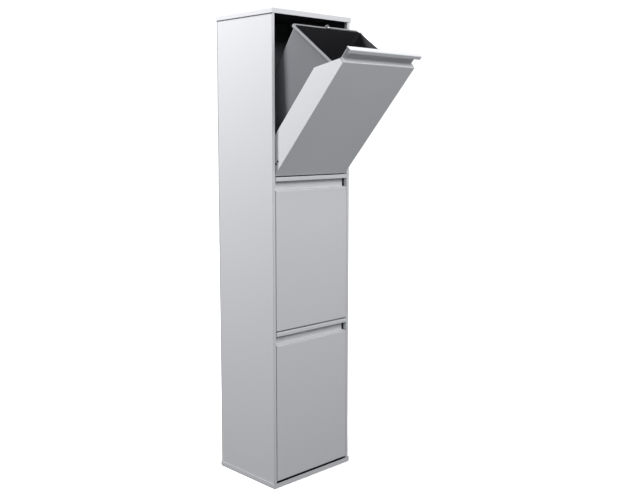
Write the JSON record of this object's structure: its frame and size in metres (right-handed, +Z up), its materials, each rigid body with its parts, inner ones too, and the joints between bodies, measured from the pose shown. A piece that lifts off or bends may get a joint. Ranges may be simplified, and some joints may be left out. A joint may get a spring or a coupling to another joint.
{
  "type": "recycling station",
  "caption": "Tall narrow steel recycling cabinet with stacked tilt-out flaps, each carrying a lift-out plastic bin with a bail handle; the top flap stands open.",
  "frame": {"origin": "middle of the underside of the base pan, on the floor", "axes": "+X to the right of someone facing the flaps, +Y from the front to the back, +Z up"},
  "size_m": [0.3, 0.5114, 1.315],
  "materials": {
    "painted_steel": "satin powder coat, light grey",
    "bin_plastic": "fine-grained moulded polypropylene, mid grey",
    "handle_wire": "bright galvanised wire",
    "zinc_steel": "zinc plated",
    "rivet_steel": "plain blind rivet",
    "dark_rivet": "blackened rivet head",
    "nylon": "black moulded nylon",
    "rubber": "black rubber"
  },
  "bodies": {
    "cabinet": {"base_pan": "painted_steel", "top_cap": "painted_steel", "left_side_panel": "painted_steel", "right_side_panel": "painted_steel", "back_panel": "painted_steel", "back_rivets": "rivet_steel", "lower_shelf": "painted_steel", "upper_shelf": "painted_steel", "pivot_bushes": "nylon", "closing_stops": "painted_steel"},
    "lower_flap": {"lower_flap_panel": "painted_steel", "lower_left_cheek": "painted_steel", "lower_right_cheek": "painted_steel", "lower_bin_tray": "painted_steel", "lower_hinge_plates": "zinc_steel", "lower_hinge_pins": "zinc_steel", "lower_hinge_rivets": "dark_rivet", "lower_stop_buffers": "rubber"},
    "lower_bin": {"lower_bin": "bin_plastic"},
    "lower_handle": {"lower_bin_handle": "handle_wire"},
    "middle_flap": {"middle_flap_panel": "painted_steel", "middle_left_cheek": "painted_steel", "middle_right_cheek": "painted_steel", "middle_bin_tray": "painted_steel", "middle_hinge_plates": "zinc_steel", "middle_hinge_pins": "zinc_steel", "middle_hinge_rivets": "dark_rivet", "middle_stop_buffers": "rubber"},
    "middle_bin": {"middle_bin": "bin_plastic"},
    "middle_handle": {"middle_bin_handle": "handle_wire"},
    "upper_flap": {"upper_flap_panel": "painted_steel", "upper_left_cheek": "painted_steel", "upper_right_cheek": "painted_steel", "upper_bin_tray": "painted_steel", "upper_hinge_plates": "zinc_steel", "upper_hinge_pins": "zinc_steel", "upper_hinge_rivets": "dark_rivet", "upper_stop_buffers": "rubber"},
    "upper_bin": {"upper_bin": "bin_plastic"},
    "upper_handle": {"upper_bin_handle": "handle_wire"}
  },
  "joints": [
    {"name": "lower_flap_tilt", "type": "hinge", "parent": "cabinet", "child": "lower_flap", "pos_m": [0, -0.1125, 0.026], "axis": [1, 0, 0], "range_deg": [0, 41.6]},
    {"name": "lower_bin_lift", "type": "slide", "parent": "lower_flap", "child": "lower_bin", "axis": [0, 0, 1], "range_m": [0, 0.035]},
    {"name": "lower_handle_swing", "type": "hinge", "parent": "lower_bin", "child": "lower_handle", "pos_m": [0, -0.09485, 0.37891], "axis": [0, -0.9954, 0.0958], "range_deg": [0, 15]},
    {"name": "middle_flap_tilt", "type": "hinge", "parent": "cabinet", "child": "middle_flap", "pos_m": [0, -0.1125, 0.453], "axis": [1, 0, 0], "range_deg": [0, 41.6]},
    {"name": "middle_bin_lift", "type": "slide", "parent": "middle_flap", "child": "middle_bin", "axis": [0, 0, 1], "range_m": [0, 0.035]},
    {"name": "middle_handle_swing", "type": "hinge", "parent": "middle_bin", "child": "middle_handle", "pos_m": [0, -0.09485, 0.80591], "axis": [0, -0.9954, 0.0958], "range_deg": [0, 15]},
    {"name": "upper_flap_tilt", "type": "hinge", "parent": "cabinet", "child": "upper_flap", "pos_m": [0, -0.1125, 0.88], "axis": [1, 0, 0], "range_deg": [-41.6, 0]},
    {"name": "upper_bin_lift", "type": "slide", "parent": "upper_flap", "child": "upper_bin", "axis": [0, -0.6639, 0.7478], "range_m": [0, 0.36]},
    {"name": "upper_handle_swing", "type": "hinge", "parent": "upper_bin", "child": "upper_handle", "pos_m": [0, -0.33361, 1.15562], "axis": [0, -0.808, -0.5892], "range_deg": [0, 180]}
  ]
}
